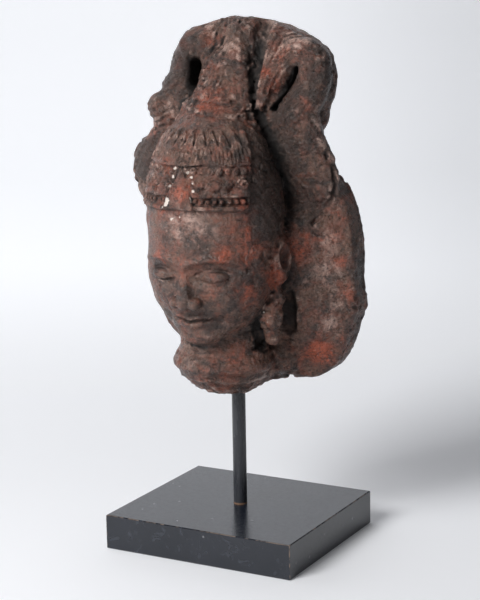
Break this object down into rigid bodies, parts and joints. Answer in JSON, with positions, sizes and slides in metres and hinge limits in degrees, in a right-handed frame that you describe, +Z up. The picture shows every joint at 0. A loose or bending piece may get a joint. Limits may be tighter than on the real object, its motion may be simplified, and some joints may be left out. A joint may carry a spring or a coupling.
{
  "type": "carved stone head on a display mount",
  "caption": "Carved stone head in high relief with a banded headdress and topknot, standing on a steel rod and a low black plinth.",
  "frame": {"origin": "centre of the plinth's underside", "axes": "+Z up along the rod; the face and the plinth's long front side look along -Y"},
  "size_m": [0.2207, 0.1869, 0.4826],
  "materials": {
    "carved_stone": "dark brown patina over red stone, hand-carved and worn, satin",
    "rod_steel": "satin black",
    "plinth_black": "satin black, rubbed to a coppery tan along the edges"
  },
  "bodies": {
    "root": {"carved_head": "carved_stone", "support_rod": "rod_steel", "display_plinth": "plinth_black"}
  },
  "joints": []
}
